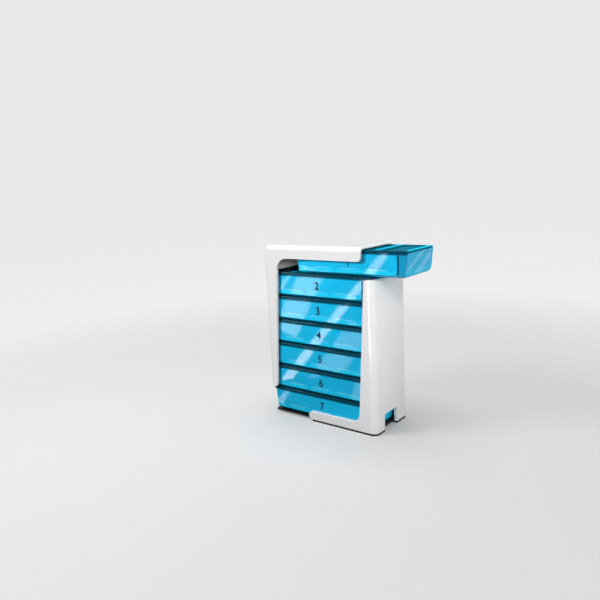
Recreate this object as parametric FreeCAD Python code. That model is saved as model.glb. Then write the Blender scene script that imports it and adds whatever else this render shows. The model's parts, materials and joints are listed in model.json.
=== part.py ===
"""Weekly pill drawer organizer: seven stacked drawers in an S-shaped frame.

Units are millimetres. +Z is up, +X is to the right seen from the front, and the front looks to -Y.
The origin is on the table under the middle of the frame's footprint.

The frame is two L-shaped mouldings on a common back panel. The upper one is the roof and the left
wall, the lower one is the right wall and the sill. Between them they leave two doorways: the top
drawer goes in and out at the upper right, the bottom drawer at the lower left.
"""

import FreeCAD, Part
import math
import os

Vector = FreeCAD.Vector

# ---- frame: overall size and walls
FRAME_WIDTH = 96.0
FRAME_DEPTH = 43.0
SIDE_WALL = 2.2
FRONT_LIP_THICKNESS = 1.8
BACK_THICKNESS = 1.8
ROOF_THICKNESS = 1.8
ROOF_EDGE_RADIUS = 4.0
CORNER_EXTRA_RADIUS = 0.5
INNER_CORNER_RADIUS = 1.0

# ---- frame: the lips that hold the drawers in at the front
LIP_WIDTH_ROOT = 13.8
LIP_WIDTH_FREE = 7.0
ROOF_LIP_HEIGHT = 10.0
SILL_HEIGHT = 6.3
SILL_END_ROUNDNESS = 0.48
SILL_START = -10.8
ROOF_END = 39.0
ROOF_END_RADIUS = 0.8
ROOF_LIP_CORNER_RADIUS = 3.0
WINDOW_TOP_RADIUS = 8.5
WINDOW_BOTTOM_RADIUS = 7.0
FREE_END_RADIUS = 2.0

# ---- push notch at the foot of the right wall
NOTCH_START = -9.5
NOTCH_END = 8.0
NOTCH_TOP = 12.8
NOTCH_RADIUS = 2.0

# ---- back panel
REBATE = 0.8
PANEL_CLEARANCE = 0.1
PANEL_LOW_CUT = -39.0
PANEL_CORNER_RADIUS = 3.0

# ---- base plate
FOOT_HEIGHT = 1.4
FLOOR_TOP = 2.9
FLOOR_THICKNESS = 1.4
SKIRT_WIDTH = 2.6
KEEL_WIDTH = 3.0
FLOOR_LEFT_INSET = 1.2

# ---- drawers
DRAWER_COUNT = 7
LID_COUNT = 4
STACK_GAP = 0.4
FLOOR_GAP = 0.3
END_CLEARANCE = 0.4
FACE_CLEARANCE = 0.4
WALL_END_CLEARANCE = 0.5
RIGHT_WALL_DROP = 2.0
DRAWER_WALL = 1.3
DRAWER_FLOOR = 1.3
DIVIDER = 1.2
BODY_HEIGHT = 16.4
END_DRAFT = 1.7
LID_OVERHANG = 0.5
DRAWER_END_RADIUS = 2.0
DRAWER_FRONT_RADIUS = 2.4
DRAWER_BACK_RADIUS = 5.0
CUP_FRONT_RADIUS = 3.0
TOP_DRAWER_PULL = 27.5

# ---- label panel and centre marks on a drawer's face
LABEL_RAISE = 0.8
LABEL_MARGIN = 6.8
LABEL_BOTTOM = 1.8
LABEL_RADIUS = 3.0
MARK_WIDTH = 0.5
MARK_DEPTH = 0.25
MARK_RISE = 0.5
MARK_HEIGHT = 2.4
NECK_HEIGHT = 1.3

# ---- lids and their snap hinges
LID_THICKNESS = 1.4
LID_SEAT_GAP = 0.1
LID_GAP = 0.3
LID_EDGE_RADIUS = 0.8
LID_BORDER = 2.8
DISH_DEPTH = 0.6
SKIRT_DROP = 2.05
SKIRT_THICKNESS = 0.8
SKIRT_GAP = 0.4
PLUG_DROP = 0.8
PLUG_THICKNESS = 0.8
PLUG_GAP = 0.3
HINGE_INSET = 1.2
PIN_CLEARANCE = 0.08
EAR_WIDTH = 1.8
EAR_WALL = 0.42
EAR_GAP = 0.2
EAR_END_INSET = 0.1
EAR_ROOT = 3.0
PIN_REACH = 0.7
PIN_SIDES = 8

# ---- working margins: how far a cutter runs past a face, and how near two edges count as level
OVERSHOOT = 1.0
LEVEL = 1e-6

# ---- derived places
HALF_WIDTH = FRAME_WIDTH / 2
HALF_DEPTH = FRAME_DEPTH / 2
INSIDE_X = HALF_WIDTH - SIDE_WALL
INSIDE_FRONT = -HALF_DEPTH + FRONT_LIP_THICKNESS
INSIDE_BACK = HALF_DEPTH - BACK_THICKNESS
CORNER_RADIUS = ROOF_EDGE_RADIUS + CORNER_EXTRA_RADIUS
REAR_EDGE_RADIUS = ROOF_THICKNESS - REBATE - PANEL_CLEARANCE
SILL_RADIUS = SILL_END_ROUNDNESS * SILL_HEIGHT

LID_UNDERSIDE = BODY_HEIGHT + LID_SEAT_GAP
LID_TOP = LID_UNDERSIDE + LID_THICKNESS
LABEL_TOP = BODY_HEIGHT - NECK_HEIGHT
PITCH = LID_TOP + STACK_GAP
LOWEST_DRAWER = FLOOR_TOP + FLOOR_GAP
HIGHEST_DRAWER = LOWEST_DRAWER + (DRAWER_COUNT - 1) * PITCH
ROOF_UNDERSIDE = HIGHEST_DRAWER + PITCH
FRAME_HEIGHT = ROOF_UNDERSIDE + ROOF_THICKNESS
LEFT_WALL_END = LOWEST_DRAWER + LID_TOP + WALL_END_CLEARANCE
RIGHT_WALL_END = HIGHEST_DRAWER - RIGHT_WALL_DROP

LID_END = INSIDE_X - END_CLEARANCE
FACE = INSIDE_FRONT + FACE_CLEARANCE
DRAWER_BACK = INSIDE_BACK - FACE_CLEARANCE
BODY_FRONT = FACE + LABEL_RAISE
NECK_FRONT = FACE + SKIRT_THICKNESS + SKIRT_GAP
BODY_END = LID_END - LID_OVERHANG
CUP_FRONT = NECK_FRONT + DRAWER_WALL
CUP_BACK = DRAWER_BACK - DRAWER_WALL
CUP_PITCH = 2 * LID_END / LID_COUNT

PIN_RADIUS = LID_THICKNESS / 2
PIN_Y = DRAWER_BACK - HINGE_INSET
PIN_Z = LID_UNDERSIDE + PIN_RADIUS
SOCKET_HALF_WIDTH = PIN_RADIUS + PIN_CLEARANCE
EAR_FRONT = PIN_Y - SOCKET_HALF_WIDTH - EAR_WALL
BACK_WALL_TOP = LID_UNDERSIDE - PIN_CLEARANCE - EAR_WALL


def in_plan(u, v, w):
    return Vector(u, v, w)


def in_front_view(u, v, w):
    return Vector(u, w, v)


def in_side_view(u, v, w):
    return Vector(w, u, v)


def rounded_face(corners, view, offset):
    """A face through (u, v, radius) corners, each rounded by its own radius."""
    points = [Vector(u, v, 0) for u, v, _ in corners]
    count = len(corners)
    stations = []
    for i, (_, _, radius) in enumerate(corners):
        back = (points[i - 1] - points[i]).normalize()
        ahead = (points[(i + 1) % count] - points[i]).normalize()
        half_angle = back.getAngle(ahead) / 2
        run = radius / math.tan(half_angle)
        start = points[i] + back * run
        end = points[i] + ahead * run
        middle = points[i]
        if radius > 0:
            inward = (back + ahead).normalize()
            middle = points[i] + inward * (radius / math.sin(half_angle) - radius)
        stations.append((start, middle, end))
    edges = []
    for i, (start, middle, end) in enumerate(stations):
        last = stations[i - 1][2]
        if (start - last).Length > 1e-6:
            edges.append(Part.makeLine(view(last.x, last.y, offset), view(start.x, start.y, offset)))
        if (end - start).Length > 1e-6:
            arc = [view(p.x, p.y, offset) for p in (start, middle, end)]
            edges.append(Part.Arc(*arc).toShape())
    return Part.Face(Part.Wire(edges))


def slab(corners, view, low, high):
    """A solid of the given outline between two stations along the view's own axis."""
    return rounded_face(corners, view, low).extrude(view(0, 0, high - low))


def block(low, high):
    size = [b - a for a, b in zip(low, high)]
    return Part.makeBox(*size, Vector(*low))


def rectangle(u_low, u_high, v_low, v_high, radii=(0, 0, 0, 0)):
    """Corners counter-clockwise from (u_low, v_low)."""
    places = ((u_low, v_low), (u_high, v_low), (u_high, v_high), (u_low, v_high))
    return [(u, v, radius) for (u, v), radius in zip(places, radii)]


# ---- the frame


def frame_outside():
    """The rounded column that both frame mouldings are cut from."""
    column = slab(footprint(), in_plan, FOOT_HEIGHT, FRAME_HEIGHT)
    near_top = FRAME_HEIGHT - LEVEL
    near_back = HALF_DEPTH - LEVEL
    above_foot = FOOT_HEIGHT + LEVEL
    boxes = [(e, e.BoundBox) for e in column.Edges]
    rim = [e for e, box in boxes if box.ZMin > near_top and box.YMin < near_back]
    column = column.makeFillet(ROOF_EDGE_RADIUS, rim)
    boxes = [(e, e.BoundBox) for e in column.Edges]
    rear = [e for e, box in boxes if box.YMin > near_back and box.ZMax > above_foot]
    return column.makeFillet(REAR_EDGE_RADIUS, rear)


def footprint():
    """The frame's outline on the table, with large front corners."""
    radii = (CORNER_RADIUS, CORNER_RADIUS, 0, 0)
    return rectangle(-HALF_WIDTH, HALF_WIDTH, -HALF_DEPTH, HALF_DEPTH, radii)


def frame_inside():
    """The space inside the walls, open at the back, with the step that seats the back panel."""
    rear = HALF_DEPTH + OVERSHOOT
    near_top = ROOF_UNDERSIDE - LEVEL
    hollow = block((-INSIDE_X, INSIDE_FRONT, 0), (INSIDE_X, rear, ROOF_UNDERSIDE))
    boxes = [(e, e.BoundBox) for e in hollow.Edges]
    rounded = [e for e, box in boxes if box.ZMax > near_top and box.YMin < HALF_DEPTH]
    hollow = hollow.makeFillet(INNER_CORNER_RADIUS, rounded)
    rebate = block(
        (-INSIDE_X - REBATE, INSIDE_BACK, 0),
        (INSIDE_X + REBATE, rear, ROOF_UNDERSIDE + REBATE),
    )
    return hollow.fuse(rebate)


def upper_frame():
    """Roof and left wall, with a lip that narrows down the left wall to its free end."""
    lip_bottom = FRAME_HEIGHT - ROOF_LIP_HEIGHT
    front = [
        (-HALF_WIDTH, LEFT_WALL_END, FREE_END_RADIUS),
        (-HALF_WIDTH + LIP_WIDTH_FREE, LEFT_WALL_END, FREE_END_RADIUS),
        (-HALF_WIDTH + LIP_WIDTH_ROOT, lip_bottom, WINDOW_TOP_RADIUS),
        (ROOF_END, lip_bottom, ROOF_LIP_CORNER_RADIUS),
        (ROOF_END, FRAME_HEIGHT, ROOF_END_RADIUS),
        (-HALF_WIDTH, FRAME_HEIGHT, 0),
    ]
    ell = slab(front, in_front_view, -HALF_DEPTH, HALF_DEPTH)
    return frame_outside().cut(frame_inside()).common(ell)


def lower_frame():
    """Right wall and sill, with a lip that narrows up the right wall, and the push notch."""
    front = [
        (SILL_START, FOOT_HEIGHT, SILL_RADIUS),
        (HALF_WIDTH, FOOT_HEIGHT, 0),
        (HALF_WIDTH, RIGHT_WALL_END, FREE_END_RADIUS),
        (HALF_WIDTH - LIP_WIDTH_FREE, RIGHT_WALL_END, FREE_END_RADIUS),
        (HALF_WIDTH - LIP_WIDTH_ROOT, FOOT_HEIGHT + SILL_HEIGHT, WINDOW_BOTTOM_RADIUS),
        (SILL_START, FOOT_HEIGHT + SILL_HEIGHT, SILL_RADIUS),
    ]
    ell = slab(front, in_front_view, -HALF_DEPTH, HALF_DEPTH)
    return frame_outside().cut(frame_inside()).common(ell).cut(push_notch())


def push_notch():
    """The finger opening through the foot of the right wall, behind the bottom drawer's end."""
    top = (0, 0, NOTCH_RADIUS, NOTCH_RADIUS)
    side = rectangle(NOTCH_START, NOTCH_END, 0, NOTCH_TOP, top)
    return slab(side, in_side_view, INSIDE_X - SKIRT_WIDTH - OVERSHOOT, HALF_WIDTH + OVERSHOOT)


def back_panel():
    """The S-shaped rear wall that carries both frame mouldings, seated in their rebate."""
    side = INSIDE_X + REBATE - PANEL_CLEARANCE
    top = ROOF_UNDERSIDE + REBATE - PANEL_CLEARANCE
    outline = [
        (PANEL_LOW_CUT, FOOT_HEIGHT, PANEL_CORNER_RADIUS),
        (side, FOOT_HEIGHT, 0),
        (side, RIGHT_WALL_END, FREE_END_RADIUS),
        (ROOF_END, RIGHT_WALL_END, PANEL_CORNER_RADIUS),
        (ROOF_END, top, 0),
        (-side, top, 0),
        (-side, LEFT_WALL_END, FREE_END_RADIUS),
        (PANEL_LOW_CUT, LEFT_WALL_END, PANEL_CORNER_RADIUS),
    ]
    return slab(outline, in_front_view, INSIDE_BACK, HALF_DEPTH)


def base_plate():
    """Raised floor under the drawers, with a foot rim under the walls and a keel down the middle."""
    fit = PANEL_CLEARANCE
    corner = [INNER_CORNER_RADIUS] * 4
    inner = rectangle(-INSIDE_X + fit, INSIDE_X - fit, INSIDE_FRONT + fit, INSIDE_BACK - fit, corner)
    floor_low = FLOOR_TOP - FLOOR_THICKNESS
    floor_plan = list(inner)
    left = -INSIDE_X + fit + FLOOR_LEFT_INSET
    floor_plan[0] = (left, INSIDE_FRONT + fit, INNER_CORNER_RADIUS)
    floor_plan[3] = (left, INSIDE_BACK - fit, INNER_CORNER_RADIUS)
    floor = slab(floor_plan, in_plan, floor_low, FLOOR_TOP)

    middle = block(
        (-INSIDE_X + fit + SKIRT_WIDTH, INSIDE_FRONT + fit + SKIRT_WIDTH, 0),
        (INSIDE_X - fit - SKIRT_WIDTH, INSIDE_BACK - fit - SKIRT_WIDTH, floor_low),
    )
    foot = slab(footprint(), in_plan, 0, FOOT_HEIGHT)
    corners = [e for e in foot.Edges if e.BoundBox.ZLength > 0 and e.BoundBox.YMin > INSIDE_BACK]
    foot = foot.makeFillet(REAR_EDGE_RADIUS, corners)
    rim = foot.fuse(slab(inner, in_plan, 0, floor_low)).cut(middle)
    front_gap = block((-HALF_WIDTH, -HALF_DEPTH, 0), (SILL_START + SILL_RADIUS, 0, floor_low))
    left_gap = block((-HALF_WIDTH, -HALF_DEPTH, 0), (PANEL_LOW_CUT, HALF_DEPTH, floor_low))
    notch_gap = push_notch().common(
        block((0, -HALF_DEPTH, 0), (HALF_WIDTH + OVERSHOOT, HALF_DEPTH, floor_low))
    )
    keel_end = left + SKIRT_WIDTH
    keel = block((keel_end, -KEEL_WIDTH / 2, 0), (INSIDE_X - SKIRT_WIDTH, KEEL_WIDTH / 2, floor_low))
    rim = rim.cut(front_gap).cut(left_gap).cut(notch_gap)
    return floor.fuse(rim).fuse(keel).removeSplitter()


# ---- the drawers


def drawer_blank():
    """The drawer's outside: a long trough section with drafted, rounded ends."""
    side = [
        (BODY_FRONT, 0, DRAWER_FRONT_RADIUS),
        (DRAWER_BACK, 0, DRAWER_BACK_RADIUS),
        (DRAWER_BACK, BACK_WALL_TOP, 0),
        (EAR_FRONT, BACK_WALL_TOP, 0),
        (EAR_FRONT, BODY_HEIGHT, 0),
        (NECK_FRONT, BODY_HEIGHT, 0),
        (NECK_FRONT, LABEL_TOP, 0),
        (BODY_FRONT, LABEL_TOP, 0),
    ]
    trough = slab(side, in_side_view, -BODY_END, BODY_END)
    return trough.common(drafted_block(0, 0, BODY_HEIGHT, DRAWER_END_RADIUS))


def body_end(height):
    """Half the drawer's length at a height: its ends lean out towards the top."""
    return BODY_END - END_DRAFT * (1 - height / BODY_HEIGHT)


def drafted_block(inset, low, high, radius):
    """A block as deep as the frame with the drawer's leaning ends, moved in by inset."""
    low_end = body_end(low) - inset
    high_end = body_end(high) - inset
    front = [
        (-low_end, low, radius),
        (low_end, low, radius),
        (high_end, high, 0),
        (-high_end, high, 0),
    ]
    return slab(front, in_front_view, -HALF_DEPTH, HALF_DEPTH)


def cups():
    """The pill compartments: one rounded trough with a divider left standing at each pitch."""
    top = BODY_HEIGHT + OVERSHOOT
    back_radius = DRAWER_BACK_RADIUS - DRAWER_WALL
    side = [
        (CUP_FRONT, DRAWER_FLOOR, CUP_FRONT_RADIUS),
        (CUP_BACK, DRAWER_FLOOR, back_radius),
        (CUP_BACK, top, 0),
        (CUP_FRONT, top, 0),
    ]
    trough = slab(side, in_side_view, -BODY_END, BODY_END)
    hollow = trough.common(drafted_block(DRAWER_WALL, DRAWER_FLOOR, top, DRAWER_END_RADIUS))
    for x in divider_places():
        hollow = hollow.cut(
            block((x - DIVIDER / 2, -HALF_DEPTH, 0), (x + DIVIDER / 2, HALF_DEPTH, top))
        )
    return hollow


def divider_places():
    return [-LID_END + CUP_PITCH * i for i in range(1, LID_COUNT)]


def cup_mouth(index):
    """Where a cup's opening starts and ends along X, at the depth that a lid's plug reaches."""
    end = body_end(BODY_HEIGHT - PLUG_DROP) - DRAWER_WALL
    walls = [-end - DIVIDER / 2] + divider_places() + [end + DIVIDER / 2]
    return walls[index] + DIVIDER / 2, walls[index + 1] - DIVIDER / 2


def label_panel():
    """The raised panel on the drawer's face, with a mark low on it at the middle of each cup."""
    end = BODY_END - LABEL_MARGIN
    radii = (LABEL_RADIUS, LABEL_RADIUS, 0, 0)
    face = rectangle(-end, end, LABEL_BOTTOM, LABEL_TOP, radii)
    panel = slab(face, in_front_view, FACE, BODY_FRONT + DRAWER_WALL / 2)
    mark_bottom = LABEL_BOTTOM + MARK_RISE
    for i in range(LID_COUNT):
        x = -LID_END + CUP_PITCH * (i + 0.5)
        panel = panel.cut(
            block(
                (x - MARK_WIDTH / 2, FACE, mark_bottom),
                (x + MARK_WIDTH / 2, FACE + MARK_DEPTH, mark_bottom + MARK_HEIGHT),
            )
        )
    return panel


def ear_spans():
    """The stretch along X that each hinge ear takes: one at each end and one on each divider."""
    end = BODY_END - EAR_END_INSET
    spans = [(-end, -end + EAR_WIDTH)]
    spans += [(x - EAR_WIDTH / 2, x + EAR_WIDTH / 2) for x in divider_places()]
    return spans + [(end - EAR_WIDTH, end)]


def hinge_ears():
    """Snap ears along the back edge, each with a slot that a lid's pin clicks down into."""
    ears = None
    for low, high in ear_spans():
        ear = block((low, EAR_FRONT, BACK_WALL_TOP - EAR_ROOT), (high, DRAWER_BACK, LID_TOP))
        slot_low = low if low > -BODY_END + EAR_WIDTH else high - EAR_WIDTH / 2
        slot_high = high if high < BODY_END - EAR_WIDTH else low + EAR_WIDTH / 2
        slot = block(
            (slot_low, PIN_Y - SOCKET_HALF_WIDTH, PIN_Z - SOCKET_HALF_WIDTH),
            (slot_high, PIN_Y + SOCKET_HALF_WIDTH, LID_TOP + OVERSHOOT),
        )
        ear = ear.cut(slot)
        ears = ear if ears is None else ears.fuse(ear)
    return ears


def drawer():
    """One drawer, standing at the foot of the stack and pushed home."""
    body = drawer_blank().cut(cups())
    return body.fuse(label_panel()).fuse(hinge_ears()).removeSplitter()


# ---- the lids


def lid(index):
    """One compartment's lid, shut: dished top plate, front skirt, plug rib and hinge pins."""
    ears = ear_spans()
    left = -LID_END + CUP_PITCH * index
    right = left + CUP_PITCH
    left += 0 if index == 0 else LID_GAP / 2
    right -= 0 if index == LID_COUNT - 1 else LID_GAP / 2
    skirt_bottom = LID_TOP - SKIRT_DROP
    skirt_back = FACE + SKIRT_THICKNESS
    plate_back = PIN_Y + PIN_RADIUS
    side = [
        (FACE, LID_TOP, LID_EDGE_RADIUS),
        (FACE, skirt_bottom, 0),
        (skirt_back, skirt_bottom, 0),
        (skirt_back, LID_UNDERSIDE, 0),
        (plate_back, LID_UNDERSIDE, 0),
        (plate_back, LID_TOP, 0),
    ]
    plate = slab(side, in_side_view, left, right)
    dish = block(
        (left + LID_BORDER, FACE + LID_BORDER, LID_TOP - DISH_DEPTH),
        (right - LID_BORDER, EAR_FRONT - LID_BORDER, LID_TOP + OVERSHOOT),
    )
    plate = plate.cut(dish)
    pin_left = ears[index][1] + EAR_GAP
    pin_right = ears[index + 1][0] - EAR_GAP
    for low, high in ((left, pin_left), (pin_right, right)):
        corner = block((low, EAR_FRONT - EAR_GAP, 0), (high, DRAWER_BACK, LID_TOP + OVERSHOOT))
        plate = plate.cut(corner)

    mouth_low, mouth_high = cup_mouth(index)
    plug_front = CUP_FRONT + PLUG_GAP
    plug = block(
        (mouth_low + PLUG_GAP, plug_front, LID_UNDERSIDE - PLUG_DROP),
        (mouth_high - PLUG_GAP, plug_front + PLUG_THICKNESS, LID_UNDERSIDE),
    )
    reach = PIN_REACH + EAR_GAP
    left_pin = hinge_pin(pin_left - reach, pin_left)
    right_pin = hinge_pin(pin_right, pin_right + reach)
    return plate.fuse(plug).fuse(left_pin).fuse(right_pin).removeSplitter()


def hinge_pin(low, high):
    """A short snap pin, as thick as the lid and many-sided where a lathe would make it round."""
    turn = math.pi / PIN_SIDES
    corner_radius = PIN_RADIUS / math.cos(turn)
    angles = [turn * (2 * i + 1) for i in range(PIN_SIDES)]
    outline = [
        (PIN_Y + corner_radius * math.cos(a), PIN_Z + corner_radius * math.sin(a), 0)
        for a in angles
    ]
    return slab(outline, in_side_view, low, high)


# ---- the assembly


def save(name, shape):
    if not shape.isValid() or len(shape.Solids) != 1:
        raise ValueError(name + " is not one valid solid")
    shape.Solids[0].exportStep("parts/" + name + ".step")
    print(name, round(shape.Volume, 1), len(shape.Faces))


def main():
    os.makedirs("parts", exist_ok=True)
    save("upper_frame", upper_frame())
    save("lower_frame", lower_frame())
    save("back_panel", back_panel())
    save("base_plate", base_plate())
    tray = drawer()
    lids = [lid(i) for i in range(LID_COUNT)]
    for number in range(1, DRAWER_COUNT + 1):
        pull = TOP_DRAWER_PULL if number == 1 else 0
        place = Vector(pull, 0, LOWEST_DRAWER + (DRAWER_COUNT - number) * PITCH)
        save(f"drawer_{number}", tray.translated(place))
        for i, cover in enumerate(lids):
            save(f"drawer_{number}_lid_{i + 1}", cover.translated(place))


main()
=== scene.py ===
"""Looks of the weekly pill drawer organizer, in metres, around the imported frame.

+X is right seen from the front, the labelled faces look to -Y, and +Z is up.
"""

import json
import math

import bmesh
import bpy
from mathutils import Matrix, Vector


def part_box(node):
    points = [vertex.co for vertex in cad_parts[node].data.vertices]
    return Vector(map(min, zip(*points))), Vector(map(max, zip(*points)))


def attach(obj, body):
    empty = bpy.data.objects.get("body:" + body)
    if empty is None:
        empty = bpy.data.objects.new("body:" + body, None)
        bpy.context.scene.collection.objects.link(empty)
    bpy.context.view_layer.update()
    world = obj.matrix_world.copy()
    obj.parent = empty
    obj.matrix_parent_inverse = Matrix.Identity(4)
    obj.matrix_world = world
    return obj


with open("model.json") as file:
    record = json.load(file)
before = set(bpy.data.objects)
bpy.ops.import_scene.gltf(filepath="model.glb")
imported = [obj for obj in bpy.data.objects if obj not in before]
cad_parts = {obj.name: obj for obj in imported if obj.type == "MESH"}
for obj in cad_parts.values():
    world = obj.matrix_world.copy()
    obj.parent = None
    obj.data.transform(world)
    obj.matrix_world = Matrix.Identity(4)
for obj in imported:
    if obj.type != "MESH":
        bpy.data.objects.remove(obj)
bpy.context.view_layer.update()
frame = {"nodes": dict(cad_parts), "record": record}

MM = 0.001

# ---- the CAD nodes by kind
LOWER_SHELL = ("lower_frame", "base_plate")
UPPER_SHELL = ("upper_frame", "back_panel")
SHELL = LOWER_SHELL + UPPER_SHELL
DRAWERS = sorted(name for name in frame["nodes"] if name not in SHELL and "_lid_" not in name)

# ---- the camera: where it stands round its target, and its lens and sensor in mm
CAMERA_TARGET = Vector((-31.3, 0, 87.7)) * MM
CAMERA_AZIMUTH = math.radians(38.63)
CAMERA_ELEVATION = math.radians(10.92)
CAMERA_ROLL = math.radians(-2.92)
CAMERA_DISTANCE = 456.0 * MM
CAMERA_LENS = 34.95
CAMERA_SENSOR = 36
CAMERA_CLIP = (0.01, 20)

# ---- colours, linear
WHITE_PLASTIC = (0.76, 0.76, 0.765)
BLACK_PLASTIC = (0.006, 0.0065, 0.007)
CYAN_PLASTIC = (0.001, 0.58, 0.94)
DEEP_CYAN = (0.001, 0.50, 0.84)
# painted shade on a drawer's margin at the right-hand end
MARGIN_SHADE_CYAN = (0.001, 0.36, 0.62)
BRIGHT_CYAN = (0.002, 0.66, 1.0)
# painted highlight where the cups' floor meets a drawer's front
FLOOR_HIGHLIGHT_CYAN = (0.30, 0.84, 0.98)
TEAL_PLASTIC = (0.001, 0.120, 0.185)
# painted shade on a lid's front
LID_FRONT_SHADE_TEAL = (0.001, 0.055, 0.085)
# painted light along a lid's right-hand border
LID_GLOW = (0.002, 0.44, 0.70)
INK = (0.004, 0.010, 0.016)

# ---- each plastic's roughness and specular level
SHELL_GLOSS = (0.22, 0.5)
BASE_GLOSS = (0.45, 0.2)
DRAWER_GLOSS = (0.05, 0.10)
LID_GLOSS = (0.12, 0.0)
INK_GLOSS = (0.5, 0.2)
PLASTIC_IOR = 1.5
# how much light a clear one lets through
DRAWER_CLEARNESS = 0.14
LID_CLEARNESS = 0.05

# ---- how moulded plastic varies: scales of its noises, and how far colour, gloss and surface go
NOISE_DETAIL = 3.0
NOISE_SPAN = (0.3, 0.7)     # where most of a noise's values lie
FLOW_SCALE = 60
FLOW_SHADE = 0.975
GLOSS_SCALE = 300
GLOSS_RANGE = (0.8, 1.25)
WAVE_SCALE = 180
WAVE_DETAIL = 2.0
WAVE_HEIGHT = 4e-6

# ---- the painted highlight and painted shade on a drawer's front, painted no deeper than this: (gone, full)
FRONT_DEPTH = (2.5 * MM, 1.5 * MM)
DRAWER_TONE_SCALE = 45
# the painted highlight where the cups' floor meets the front: its height in the drawer, its width
# and the share of the width that is full, how far off a cup's middle it is (gone, full) in shares
# of a cup, and how clear it is between its (faintest, clearest)
CUPS = 4
FLOOR_HIGHLIGHT_HEIGHT = 4.9 * MM
FLOOR_HIGHLIGHT_WIDTH = 0.55 * MM
FLOOR_HIGHLIGHT_CORE = 0.2
FLOOR_HIGHLIGHT_GAP = (0.08, 0.26)
FLOOR_HIGHLIGHT_CLARITY = (0.15, 0.85)
CLARITY_SCALE = 38
CLARITY_DETAIL = 1.0
# the painted shade on the margin at the right-hand end and its soft border, in shares of the
# drawer's length
MARGIN_SHARE = 0.078
MARGIN_BORDER = 0.006

# ---- where a lid's painted glow shows, in shares of its box as (gone, full): right, high and behind its front, which has painted shade
LID_GLOW_RIGHT = (0.80, 0.88)
LID_GLOW_HIGH = (0.7, 0.9)
LID_BEHIND_FRONT = (0.06, 0.09)
LID_SHADE = 0.9             # how dark the darkest flow in its colour is

# ---- bevels that a moulded edge has
SHELL_EDGE = 0.8 * MM
DRAWER_EDGE = 0.35 * MM
LID_EDGE = 0.18 * MM
BASE_EDGE = 0.20 * MM
BEVEL_ANGLE = math.radians(40)
BEVEL_SEGMENTS = 3

# ---- the numeral on each drawer's label panel
NUMERAL_HEIGHT = 5.6 * MM
NUMERAL_SHARE_OF_FONT_SIZE = 0.7
NUMERAL_BOLDNESS = 0.12 * MM
NUMERAL_THICKNESS = 0.05 * MM
NUMERAL_RISE = 8.9 * MM

# ---- the seamless paper that the stand is on: a flat round, then a cove up to a low wall
FLOOR_RADIUS = 2.2
COVE_RADIUS = 1.2
COVE_STEPS = 16
FLOOR_SIDES = 96
WALL_HEIGHT = 2.4
WELD_DISTANCE = 1e-4
# its colour for the light that it throws on the stand, and as the camera sees it
PAPER = (0.42, 0.42, 0.42)
PAPER_TO_CAMERA = (0.62, 0.62, 0.62)
PAPER_ROUGHNESS = 0.9
PAPER_SPECULAR = 0.1
# how bright the paper and the world behind it look, where 1 is white
PAPER_SEEN = 0.94
# how much of that plain brightness it has near the middle and far from it, and how far those are
PAPER_EVENNESS = (0.25, 0.85)
PAPER_EVENNESS_SPAN = (0.10, 0.6)

# ---- the light that comes from all round
AMBIENT_COLOUR = (0.98, 0.99, 1.0)
AMBIENT_STRENGTH = 0.22
WHITE = (1, 1, 1)

# ---- soft lamps, each: its place, what it faces, its width and height, its watts,
# which set of things it lights, and whether gloss mirrors it
MIDDLE = (0, 0, 0.07)
ABOVE = (-0.05, 0.0, 1.0)
ABOVE_SIZE = (0.7, 0.6)
FILL_SIZE = (0.16, 0.12)
LAMPS = {
    "key": ((-0.24, -0.30, 0.37), (0, 0, 0.30), (0.18, 0.18), 1.35, "shell_and_paper", True),
    "top": (ABOVE, MIDDLE, ABOVE_SIZE, 8.0, "all_but_upper_shell", False),
    "roof_top": (ABOVE, MIDDLE, ABOVE_SIZE, 2.3, "upper_shell", False),
    "side": ((0.92, 0.28, 0.50), MIDDLE, (0.35, 0.35), 3.2, "nodes_but_lower_shell", True),
    "back": ((0.45, 0.85, 0.50), MIDDLE, (0.4, 0.4), 3.0, "shell", True),
    "left": ((-0.32, -0.30, 0.32), (0, 0, 0.70), (0.10, 0.10), 7.8, "drawers", True),
    "right": ((0.60, 0.0, 0.35), MIDDLE, (0.2, 0.2), 0.9, "drawers", True),
    "low_fill": ((0.32, -0.40, 0.23), MIDDLE, FILL_SIZE, 1.5, "upper_shell", True),
    "high_fill": ((0.30, -0.34, 0.36), (0, 0, 0.25), FILL_SIZE, 0.8, "lower_shell", True),
    "beside": ((0.165, -0.075, 0.10), (0.048, 0, 0.07), (0.03, 0.22), 0.155, "lower_shell", False),
}

# ---- slanted soft strips in front that the drawers' faces mirror as bright bands, each:
# the place (x, z) in mm on the face where its upper end shows and how far off that end is,
# the same for its lower end, its width in mm and its brightness
FACE_STRIPS = (
    ((57, 129), 0.22, (-43, 17), 0.075, 8, 19.0),
    ((-24, 112), 0.26, (-36, 97), 0.24, 3.5, 17.0),
    ((-2, 116), 0.24, (-32, 66), 0.18, 26, 11.0),
    ((36, 78), 0.20, (-4, 25), 0.10, 24, 6.0),
    ((-22, 19), 0.07, (-38, 4), 0.015, 18, 9.0),
    ((45, 60), 0.15, (30, 8), 0.035, 16, 5.0),
)
# the same on the top drawer's end, which leans out, where a place is (y, z)
END_LEAN = 0.104
END_STRIPS = (
    ((7, 130), 0.15, (-22, 114), 0.15, 2.5, 1.6),
    ((22, 130), 0.15, (-2, 113), 0.15, 3.5, 1.6),
)

# ---- the highlight down the lower frame's rounded front right corner, in mm, with its height
# as (low, high), seen where the corner faces this far off the front
CORNER_ROUNDNESS = 4.5
CORNER_STRIP_TURN = math.radians(14)
CORNER_STRIP_SPAN = (2, 110)
CORNER_STRIP_REACH = 0.20
CORNER_STRIP_WIDTH = 60
CORNER_STRIP_BRIGHTNESS = 11.0

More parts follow.
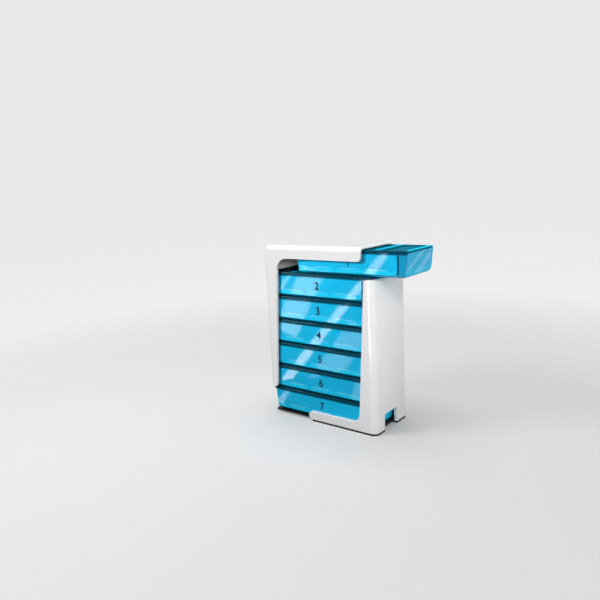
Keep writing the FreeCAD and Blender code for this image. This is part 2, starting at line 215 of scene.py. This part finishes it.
# ---- the highlight along the roof's rounded front edge, in mm
ROOF_EDGE_ROUNDNESS = 4.0
ROOF_STRIP_REACH = 0.25
ROOF_STRIP_WIDTH = 120
ROOF_STRIP_BRIGHTNESS = 18.0

# ---- the colour sockets of a Mix node
MIX_LOW, MIX_HIGH, MIX_RESULT = 6, 7, 2


# ---- nodes that the materials share


def math_node(tree, operation, first, second=None):
    """A Math node on sockets or numbers."""
    node = tree.nodes.new("ShaderNodeMath")
    node.operation = operation
    for i, value in enumerate((first, second)):
        if value is None:
            continue
        if isinstance(value, (int, float)):
            node.inputs[i].default_value = value
        else:
            tree.links.new(value, node.inputs[i])
    return node.outputs[0]


def product(tree, first, *others):
    """The product of sockets or numbers."""
    for other in others:
        first = math_node(tree, "MULTIPLY", first, other)
    return first


def noise(tree, scale, detail=NOISE_DETAIL):
    """Noise in the object's own metres, the same at every pose."""
    coords = tree.nodes.new("ShaderNodeTexCoord")
    texture = tree.nodes.new("ShaderNodeTexNoise")
    texture.inputs["Scale"].default_value = scale
    texture.inputs["Detail"].default_value = detail
    tree.links.new(coords.outputs["Object"], texture.inputs["Vector"])
    return texture.outputs["Fac"]


def spread(tree, value, low, high):
    """Maps a 0 to 1 value onto low to high."""
    remap = tree.nodes.new("ShaderNodeMapRange")
    remap.inputs["To Min"].default_value = low
    remap.inputs["To Max"].default_value = high
    tree.links.new(value, remap.inputs["Value"])
    return remap.outputs["Result"]


def fade(tree, value, start, end):
    """Goes smoothly from 0 at start to 1 at end."""
    remap = tree.nodes.new("ShaderNodeMapRange")
    remap.interpolation_type = "SMOOTHSTEP"
    remap.inputs["From Min"].default_value = min(start, end)
    remap.inputs["From Max"].default_value = max(start, end)
    remap.inputs["To Min"].default_value = 0.0 if start < end else 1.0
    remap.inputs["To Max"].default_value = 1.0 if start < end else 0.0
    tree.links.new(value, remap.inputs["Value"])
    return remap.outputs["Result"]


def tone(tree, value, low, high):
    """Blends two colours by a noise, whose values lie mostly in NOISE_SPAN."""
    ramp = tree.nodes.new("ShaderNodeValToRGB")
    for stop, position, colour in zip(ramp.color_ramp.elements, NOISE_SPAN, (low, high)):
        stop.position = position
        stop.color = (*colour, 1)
    tree.links.new(value, ramp.inputs["Fac"])
    return ramp.outputs["Color"]


def blend(tree, share, low, high):
    """Mixes two colours, each a socket or three numbers."""
    node = tree.nodes.new("ShaderNodeMix")
    node.data_type = "RGBA"
    tree.links.new(share, node.inputs["Factor"])
    for i, colour in ((MIX_LOW, low), (MIX_HIGH, high)):
        if isinstance(colour, tuple):
            node.inputs[i].default_value = (*colour, 1)
        else:
            tree.links.new(colour, node.inputs[i])
    return node.outputs[MIX_RESULT]


def bump(tree, value, distance):
    """A normal that a height moves by up to this distance."""
    node = tree.nodes.new("ShaderNodeBump")
    node.inputs["Distance"].default_value = distance
    tree.links.new(value, node.inputs["Height"])
    return node.outputs["Normal"]


def place_in_box(tree):
    """Where a point is in its piece's box, as three sockets from 0 to 1."""
    coords = tree.nodes.new("ShaderNodeTexCoord")
    split = tree.nodes.new("ShaderNodeSeparateXYZ")
    tree.links.new(coords.outputs["Generated"], split.inputs[0])
    return split.outputs


def looked_at(tree):
    """1 where a surface is seen, straight, mirrored or through clear plastic, 0 for its light."""
    path = tree.nodes.new("ShaderNodeLightPath").outputs
    either = math_node(tree, "MAXIMUM", path["Is Camera Ray"], path["Is Glossy Ray"])
    return math_node(tree, "MAXIMUM", either, path["Is Transmission Ray"])


def mix_shaders(tree, share, first, second, output):
    """Sends a mix of two shaders to the output node."""
    mix = tree.nodes.new("ShaderNodeMixShader")
    for socket, source in zip(mix.inputs, (share, first, second)):
        tree.links.new(source, socket)
    tree.links.new(mix.outputs[0], output.inputs["Surface"])


def scaled(colour, factor):
    return tuple(c * factor for c in colour)


def new_material(name):
    material = bpy.data.materials.new(name)
    material.use_nodes = True
    tree = material.node_tree
    return material, tree, tree.nodes["Principled BSDF"]


# ---- camera and floor


def place_camera():
    data = bpy.data.cameras.new("camera")
    data.lens = CAMERA_LENS
    data.sensor_width = CAMERA_SENSOR
    data.clip_start, data.clip_end = CAMERA_CLIP
    camera = bpy.data.objects.new("camera", data)
    bpy.context.collection.objects.link(camera)
    level = Vector((math.cos(CAMERA_AZIMUTH), math.sin(CAMERA_AZIMUTH), 0))
    inward = Vector((-level.y, level.x, 0))
    ahead = inward * math.cos(CAMERA_ELEVATION) - Vector((0, 0, math.sin(CAMERA_ELEVATION)))
    up = level.cross(ahead)
    side = level * math.cos(CAMERA_ROLL) + up * math.sin(CAMERA_ROLL)
    top = -level * math.sin(CAMERA_ROLL) + up * math.cos(CAMERA_ROLL)
    turn = Matrix((side, top, -ahead)).transposed().to_4x4()
    camera.matrix_world = Matrix.Translation(CAMERA_TARGET - ahead * CAMERA_DISTANCE) @ turn
    bpy.context.scene.camera = camera
    return camera


def paper_mesh():
    """The paper's profile spun round the stand."""
    profile = [(0.0, 0.0), (FLOOR_RADIUS, 0.0)]
    for step in range(1, COVE_STEPS + 1):
        turn = math.pi / 2 * step / COVE_STEPS
        radius = FLOOR_RADIUS + COVE_RADIUS * math.sin(turn)
        profile.append((radius, COVE_RADIUS * (1 - math.cos(turn))))
    profile.append((FLOOR_RADIUS + COVE_RADIUS, WALL_HEIGHT))
    mesh = bpy.data.meshes.new("paper")
    shape = bmesh.new()
    points = [shape.verts.new((radius, 0, height)) for radius, height in profile]
    edges = [shape.edges.new(pair) for pair in zip(points, points[1:])]
    bmesh.ops.spin(
        shape, geom=points + edges, axis=(0, 0, 1), cent=(0, 0, 0),
        angle=2 * math.pi, steps=FLOOR_SIDES,
    )
    bmesh.ops.remove_doubles(shape, verts=shape.verts, dist=WELD_DISTANCE)
    bmesh.ops.recalc_face_normals(shape, faces=shape.faces)
    shape.to_mesh(mesh)
    shape.free()
    mesh.shade_smooth()
    return mesh


def paper_material():
    """Pale paper that looks plainer the farther it is from the stand."""
    material, tree, shader = new_material("paper")
    shader.inputs["Roughness"].default_value = PAPER_ROUGHNESS
    shader.inputs["Specular IOR Level"].default_value = PAPER_SPECULAR
    path = tree.nodes.new("ShaderNodeLightPath")
    colour = blend(tree, path.outputs["Is Camera Ray"], PAPER, PAPER_TO_CAMERA)
    tree.links.new(colour, shader.inputs["Base Color"])
    coords = tree.nodes.new("ShaderNodeTexCoord")
    far = tree.nodes.new("ShaderNodeVectorMath")
    far.operation = "LENGTH"
    tree.links.new(coords.outputs["Object"], far.inputs[0])
    farness = fade(tree, far.outputs["Value"], *PAPER_EVENNESS_SPAN)
    evenness = spread(tree, farness, *PAPER_EVENNESS)
    even = tree.nodes.new("ShaderNodeEmission")
    even.inputs["Strength"].default_value = PAPER_SEEN
    share = product(tree, looked_at(tree), evenness)
    output = tree.nodes["Material Output"]
    mix_shaders(tree, share, shader.outputs[0], even.outputs[0], output)
    return material


def make_paper():
    paper = bpy.data.objects.new("paper", paper_mesh())
    bpy.context.collection.objects.link(paper)
    paper.data.materials.append(paper_material())
    return paper


# ---- lamps and world


def add_lamp(name, place, target, size, power):
    data = bpy.data.lights.new(name, "AREA")
    data.shape = "RECTANGLE"
    data.size, data.size_y = size
    data.energy = power
    lamp = bpy.data.objects.new(name, data)
    bpy.context.collection.objects.link(lamp)
    lamp.location = place
    lamp.rotation_mode = "QUATERNION"
    lamp.rotation_quaternion = (Vector(target) - Vector(place)).to_track_quat("-Z", "Y")
    lamp.visible_camera = False
    return lamp


def light_sets(paper):
    """The sets of things that lamps light, by name, as collections."""
    nodes = frame["nodes"]
    things = {**nodes, "paper": paper}
    names = {
        "shell_and_paper": ("paper", *SHELL),
        "all_but_upper_shell": [name for name in things if name not in UPPER_SHELL],
        "upper_shell": UPPER_SHELL,
        "nodes_but_lower_shell": [name for name in nodes if name not in LOWER_SHELL],
        "shell": SHELL,
        "drawers": [name for name in nodes if name not in SHELL],
        "lower_shell": LOWER_SHELL,
    }
    sets = {}
    for title, members in names.items():
        sets[title] = bpy.data.collections.new(title)
        for name in members:
            sets[title].objects.link(things[name])
    return sets


def mirrored(camera, face, normal, reach):
    """Where a lamp has to be for the camera to see it mirrored at a place on a flat face."""
    ray = (face - camera.matrix_world.translation).normalized()
    return face + ray.reflect(normal) * reach


def add_strip(name, high, low, facing, width, brightness, receivers):
    """A lamp from one place to another that only the receivers mirror."""
    length = (low - high).length
    middle = (high + low) / 2
    power = math.pi * length * width * brightness
    lamp = add_lamp(name, middle, facing, (length, width), power)
    along = (low - high).normalized()
    ahead = facing - middle
    ahead = (ahead - along * ahead.dot(along)).normalized()
    turn = Matrix((along, (-ahead).cross(along), -ahead)).transposed()
    lamp.rotation_quaternion = turn.to_quaternion()
    lamp.visible_diffuse = False
    lamp.visible_transmission = False
    lamp.light_linking.receiver_collection = receivers


def add_band(name, camera, ends, normal, reaches, width, brightness, receivers):
    """A strip that the camera sees mirrored from one place to another on a face."""
    high, low = (mirrored(camera, end, normal, reach) for end, reach in zip(ends, reaches))
    add_strip(name, high, low, (ends[0] + ends[1]) / 2, width * MM, brightness, receivers)


def add_bands(title, strips, on_face, camera, normal, receivers):
    """A table's strips, where on_face turns the table's places into points on the face."""
    for i, (top, top_reach, bottom, bottom_reach, width, brightness) in enumerate(strips):
        ends = on_face(*top), on_face(*bottom)
        reaches = top_reach, bottom_reach
        add_band(f"{title}_{i + 1}", camera, ends, normal, reaches, width, brightness, receivers)


def light_the_faces(camera, drawers):
    """The slanted bands of light on the drawers' faces."""
    face_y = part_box("drawer_2")[0][1]

    def on_face(x, z):
        return Vector((x * MM, face_y, z * MM))

    add_bands("face_strip", FACE_STRIPS, on_face, camera, Vector((0, -1, 0)), drawers)


def light_the_end(camera, drawers):
    """The bands of light on the top drawer's end."""
    end_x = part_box("drawer_1")[1][0]

    def on_end(y, z):
        return Vector((end_x, y * MM, z * MM))

    normal = Vector((1, 0, -END_LEAN)).normalized()
    add_bands("end_strip", END_STRIPS, on_end, camera, normal, drawers)


def light_the_corner(camera, shell):
    """The light down the lower frame's front right corner."""
    low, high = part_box("lower_frame")
    normal = Vector((math.sin(CORNER_STRIP_TURN), -math.cos(CORNER_STRIP_TURN), 0))
    inset = CORNER_ROUNDNESS * MM * (Vector((1, -1, 0)) - normal)
    corner = Vector((high[0], low[1], 0)) - inset
    bottom, top = (corner + Vector((0, 0, height * MM)) for height in CORNER_STRIP_SPAN)
    reaches = CORNER_STRIP_REACH, CORNER_STRIP_REACH
    add_band(
        "corner_strip", camera, (top, bottom), normal, reaches,
        CORNER_STRIP_WIDTH, CORNER_STRIP_BRIGHTNESS, shell,
    )


def light_the_roof_edge(camera, shell):
    """The light along the roof's front edge."""
    low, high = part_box("upper_frame")
    normal = Vector((0, -1, 1)).normalized()
    edge_y = low[1] + ROOF_EDGE_ROUNDNESS * MM * (1 + normal.y)
    edge_z = high[2] - ROOF_EDGE_ROUNDNESS * MM * (1 - normal.z)
    ends = [Vector((x, edge_y, edge_z)) for x in (low[0], high[0])]
    reaches = ROOF_STRIP_REACH, ROOF_STRIP_REACH
    add_band(
        "roof_strip", camera, ends, normal, reaches,
        ROOF_STRIP_WIDTH, ROOF_STRIP_BRIGHTNESS, shell,
    )


def light_the_scene(camera, paper):
    sets = light_sets(paper)
    for name, (place, target, size, power, receivers, shows_in_gloss) in LAMPS.items():
        lamp = add_lamp(name, place, target, size, power)
        lamp.light_linking.receiver_collection = sets[receivers]
        lamp.visible_glossy = shows_in_gloss
    light_the_faces(camera, sets["drawers"])
    light_the_corner(camera, sets["shell"])
    light_the_roof_edge(camera, sets["shell"])
    light_the_end(camera, sets["drawers"])


def new_background(tree, colour, strength):
    node = tree.nodes.new("ShaderNodeBackground")
    node.inputs["Color"].default_value = (*colour, 1)
    node.inputs["Strength"].default_value = strength
    return node.outputs[0]


def make_world():
    """Dim light from all round, behind which the world looks as pale as the paper."""
    world = bpy.data.worlds.new("studio")
    bpy.context.scene.world = world
    world.use_nodes = True
    tree = world.node_tree
    tree.nodes.clear()
    output = tree.nodes.new("ShaderNodeOutputWorld")
    ambient = new_background(tree, AMBIENT_COLOUR, AMBIENT_STRENGTH)
    behind = new_background(tree, WHITE, PAPER_SEEN)
    mix_shaders(tree, looked_at(tree), ambient, behind, output)


# ---- materials


def moulded_plastic(name, colour, gloss):
    """Glossy moulded plastic: faint flow in its colour, gloss and surface."""
    roughness, specular = gloss
    material, tree, shader = new_material(name)
    flow = tone(tree, noise(tree, FLOW_SCALE), scaled(colour, FLOW_SHADE), colour)
    tree.links.new(flow, shader.inputs["Base Color"])
    low, high = (roughness * share for share in GLOSS_RANGE)
    tree.links.new(spread(tree, noise(tree, GLOSS_SCALE), low, high), shader.inputs["Roughness"])
    wave = bump(tree, noise(tree, WAVE_SCALE, WAVE_DETAIL), WAVE_HEIGHT)
    tree.links.new(wave, shader.inputs["Normal"])
    shader.inputs["Specular IOR Level"].default_value = specular
    shader.inputs["IOR"].default_value = PLASTIC_IOR
    return material, tree, shader


def clear_plastic(name, colour, gloss, clearness):
    """Tinted translucent plastic that lets lamps through to what it holds."""
    material, tree, shader = moulded_plastic(name, colour, gloss)
    shader.inputs["Transmission Weight"].default_value = clearness
    path = tree.nodes.new("ShaderNodeLightPath")
    clear = tree.nodes.new("ShaderNodeBsdfTransparent")
    # light passes both faces of a wall, so each face gives half of the tint
    clear.inputs["Color"].default_value = (*[c ** 0.5 for c in colour], 1)
    share = product(tree, path.outputs["Is Shadow Ray"], clearness)
    output = tree.nodes["Material Output"]
    mix_shaders(tree, share, shader.outputs[0], clear.outputs[0], output)
    return material, tree, shader


def paint_front_highlight_and_shade(tree, shader):
    """Painted highlight along the cups' floor, brighter cyan below it, painted shade in the right
    margin.
    """
    low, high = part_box("drawer_2")
    height = high[2] - low[2]
    depth = high[1] - low[1]
    x, y, z = place_in_box(tree)
    front = fade(tree, y, *(inward / depth for inward in FRONT_DEPTH))

    cup = math_node(tree, "FRACT", product(tree, x, CUPS))
    from_middle = math_node(tree, "ABSOLUTE", math_node(tree, "SUBTRACT", cup, 0.5))
    line_z = FLOOR_HIGHLIGHT_HEIGHT / height
    line_width = FLOOR_HIGHLIGHT_WIDTH / height
    off_line = math_node(tree, "ABSOLUTE", math_node(tree, "SUBTRACT", z, line_z))
    # painted highlight along the cups' floor, gone at each cup's middle
    line = fade(tree, off_line, line_width, FLOOR_HIGHLIGHT_CORE * line_width)
    off_gap = fade(tree, from_middle, *FLOOR_HIGHLIGHT_GAP)
    clarity = spread(tree, noise(tree, CLARITY_SCALE, CLARITY_DETAIL), *FLOOR_HIGHLIGHT_CLARITY)

    below = fade(tree, z, line_z, line_z - line_width)
    upper = tone(tree, noise(tree, DRAWER_TONE_SCALE), DEEP_CYAN, CYAN_PLASTIC)
    colour = blend(tree, below, upper, BRIGHT_CYAN)
    colour = blend(tree, product(tree, line, off_gap, front, clarity), colour, FLOOR_HIGHLIGHT_CYAN)
    # painted shade on the margin at the right-hand end
    margin_shade = fade(tree, x, 1 - MARGIN_SHARE - MARGIN_BORDER, 1 - MARGIN_SHARE)
    colour = blend(tree, product(tree, margin_shade, front), colour, MARGIN_SHADE_CYAN)
    tree.links.new(colour, shader.inputs["Base Color"])


def paint_lid_glow_and_shade(tree, shader):
    """Painted light along the clear lid's right-hand border, and painted shade on its front."""
    x, y, z = place_in_box(tree)
    right = fade(tree, x, *LID_GLOW_RIGHT)
    high = fade(tree, z, *LID_GLOW_HIGH)
    behind_front = fade(tree, y, *LID_BEHIND_FRONT)
    cloud = noise(tree, FLOW_SCALE)
    plain = tone(tree, cloud, scaled(TEAL_PLASTIC, LID_SHADE), TEAL_PLASTIC)
    # painted shade on the lid's front
    plain = blend(tree, behind_front, LID_FRONT_SHADE_TEAL, plain)
    # painted light along the lid's right-hand border
    colour = blend(tree, product(tree, right, high, behind_front), plain, LID_GLOW)
    tree.links.new(colour, shader.inputs["Base Color"])


def make_materials():
    shell = moulded_plastic("white_shell", WHITE_PLASTIC, SHELL_GLOSS)[0]
    base = moulded_plastic("black_base", BLACK_PLASTIC, BASE_GLOSS)[0]
    drawer, tree, shader = clear_plastic(
        "blue_drawer", CYAN_PLASTIC, DRAWER_GLOSS, DRAWER_CLEARNESS
    )
    paint_front_highlight_and_shade(tree, shader)
    lid, tree, shader = clear_plastic("blue_lid", TEAL_PLASTIC, LID_GLOSS, LID_CLEARNESS)
    paint_lid_glow_and_shade(tree, shader)
    ink = moulded_plastic("numeral_ink", INK, INK_GLOSS)[0]
    return {"shell": shell, "base": base, "drawer": drawer, "lid": lid, "ink": ink}


# ---- the solids' finish


def finish_of(node):
    """Which material and edge a CAD node has, by its name."""
    if node == "base_plate":
        return "base", BASE_EDGE
    if node in SHELL:
        return "shell", SHELL_EDGE
    if node in DRAWERS:
        return "drawer", DRAWER_EDGE
    return "lid", LID_EDGE


def dress_nodes(materials):
    for name, piece in frame["nodes"].items():
        finish, edge = finish_of(name)
        piece.data.materials.clear()
        piece.data.materials.append(materials[finish])
        soften = piece.modifiers.new("moulded_edges", "BEVEL")
        soften.width = edge
        soften.segments = BEVEL_SEGMENTS
        soften.limit_method = "ANGLE"
        soften.angle_limit = BEVEL_ANGLE
        soften.use_clamp_overlap = True
        soften.harden_normals = True


# ---- the numerals


def body_of(node):
    for body, members in frame["record"]["behaviour"]["bodies"].items():
        if node in members:
            return body
    raise ValueError(f"no body holds {node}")


def add_numeral(drawer, material):
    """A printed numeral in the middle of a drawer's label panel."""
    number = drawer.removeprefix("drawer_")
    low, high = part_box(drawer)
    text = bpy.data.curves.new(f"numeral_{number}", "FONT")
    text.body = number
    text.size = NUMERAL_HEIGHT / NUMERAL_SHARE_OF_FONT_SIZE
    text.align_x = "CENTER"
    text.align_y = "CENTER"
    text.extrude = NUMERAL_THICKNESS / 2
    text.offset = NUMERAL_BOLDNESS
    text.materials.append(material)
    piece = bpy.data.objects.new(f"numeral_{number}", text)
    bpy.context.collection.objects.link(piece)
    middle_x = (low[0] + high[0]) / 2
    piece.location = (middle_x, low[1] - NUMERAL_THICKNESS / 2, low[2] + NUMERAL_RISE)
    piece.rotation_euler = (math.pi / 2, 0, 0)
    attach(piece, body_of(drawer))


# ---- put together

bpy.context.scene.view_settings.view_transform = "Standard"
light_the_scene(place_camera(), make_paper())
make_world()
finishes = make_materials()
dress_nodes(finishes)
for drawer_name in DRAWERS:
    add_numeral(drawer_name, finishes["ink"])
